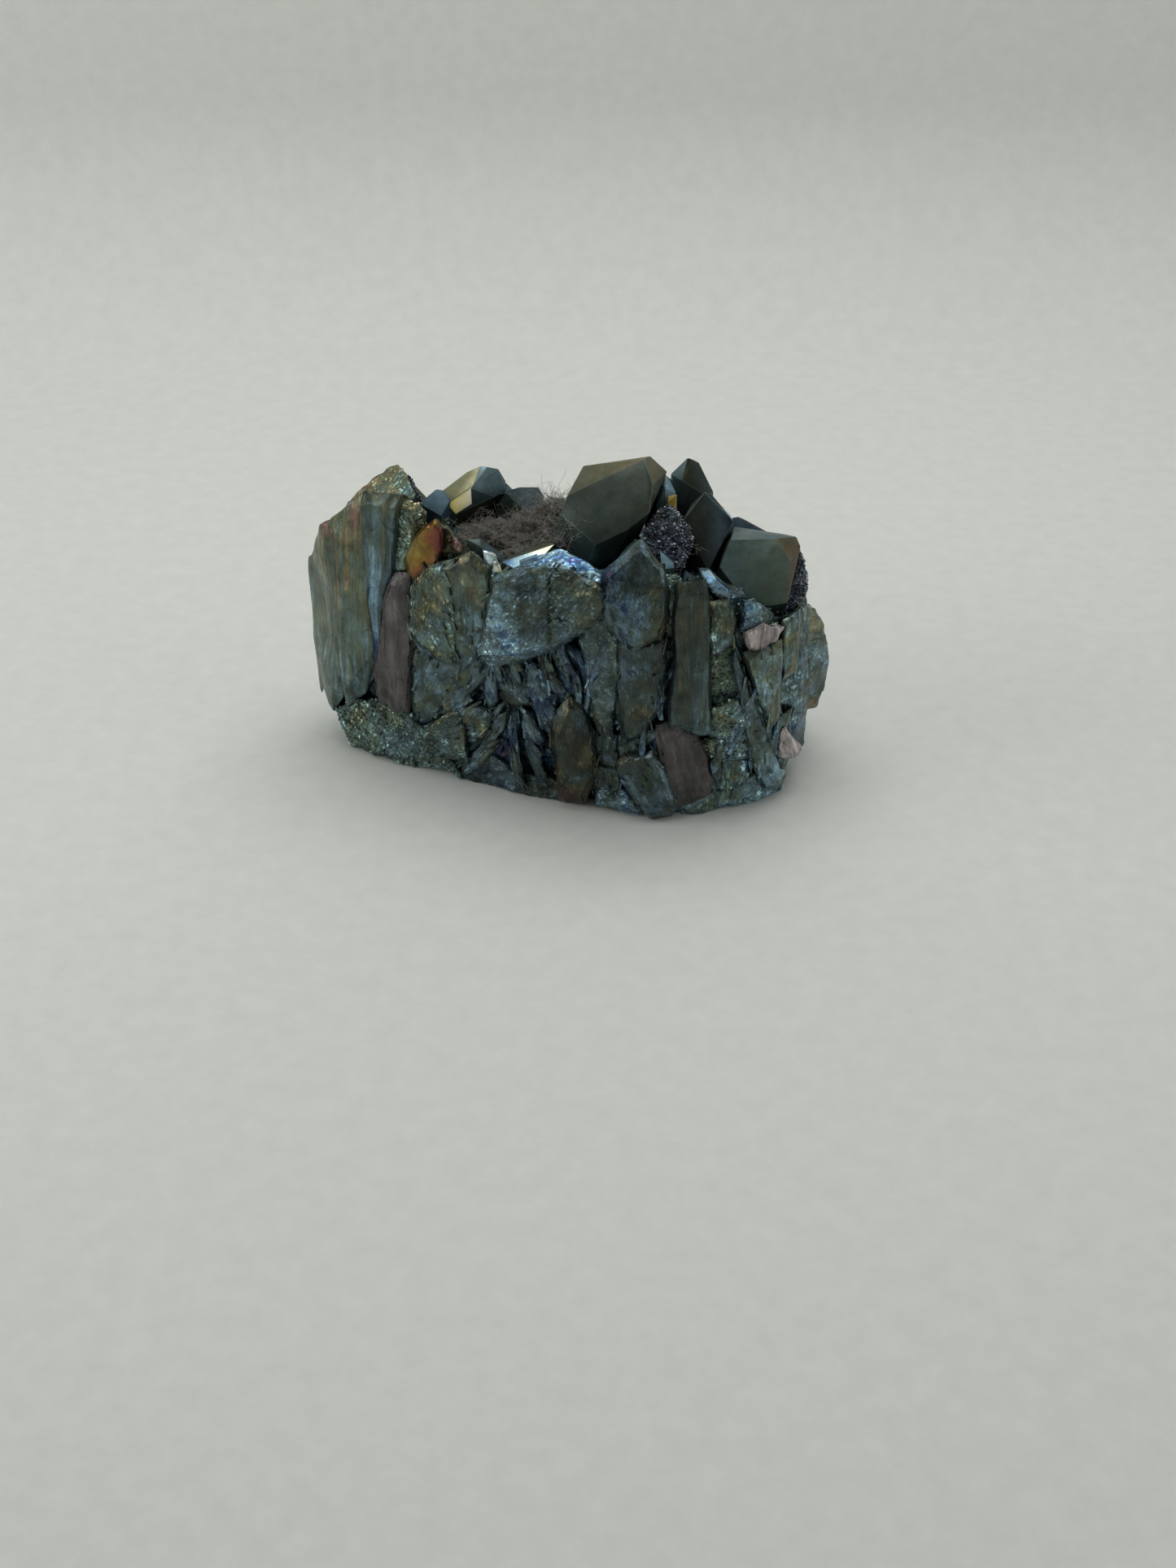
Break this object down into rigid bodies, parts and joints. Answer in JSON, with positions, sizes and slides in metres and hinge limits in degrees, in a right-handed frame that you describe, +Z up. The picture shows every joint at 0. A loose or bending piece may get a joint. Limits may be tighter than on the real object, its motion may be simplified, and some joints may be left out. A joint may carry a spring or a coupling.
{
  "type": "coated quartz crystal cluster",
  "caption": "Broken cluster of quartz points under an iridescent metal coat, with druse crusts and a flat root to stand on.",
  "frame": {"origin": "middle of the bounding box of the cluster, on the flat root's plane", "axes": "+Z up, the points point up; +X along the cluster's length to the right; -Y out of the broken wall that faces the viewer"},
  "size_m": [0.091, 0.0472, 0.0575],
  "materials": {
    "coated_quartz": "quartz under a thin vapour-deposited metal oxide coat: dark mirror faces on the points, striated and chipped shafts in olive, teal, blue and magenta interference colours, bare violet and pinkish chips, and dull lint in the hollow"
  },
  "bodies": {
    "root": {"crystal_cluster": "coated_quartz"}
  },
  "joints": []
}
